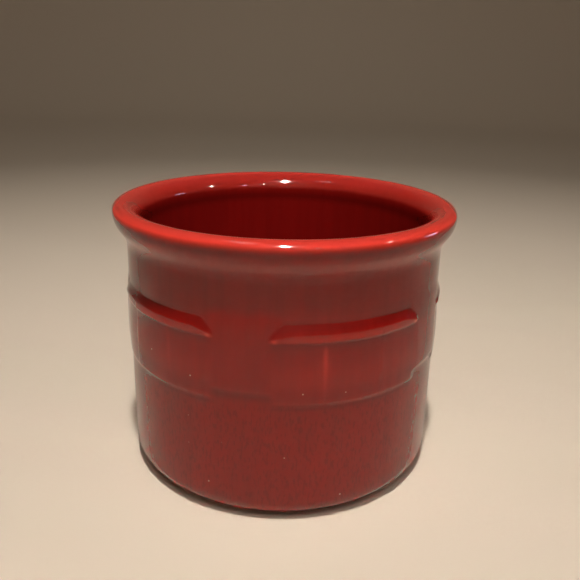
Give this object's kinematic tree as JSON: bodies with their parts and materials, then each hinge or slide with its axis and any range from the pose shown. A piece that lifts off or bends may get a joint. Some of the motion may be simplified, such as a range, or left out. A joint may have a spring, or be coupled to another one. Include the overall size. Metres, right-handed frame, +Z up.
{
  "type": "salt crock",
  "caption": "Open glazed stoneware salt crock with a rolled lip, a rounded heel and a broad woven band in low relief round its straight wall.",
  "frame": {"origin": "centre of the circle that the foot ring stands on, on the surface that the crock rests on", "axes": "+Z up along the crock's axis; -Y through the middle of one upright stake of the band that shows in front of the weaver"},
  "size_m": [0.114, 0.114, 0.09],
  "materials": {
    "red_glaze": "deep red gloss glaze, fully glazed but for the foot ring"
  },
  "bodies": {
    "root": {"crock_body": "red_glaze"}
  },
  "joints": []
}
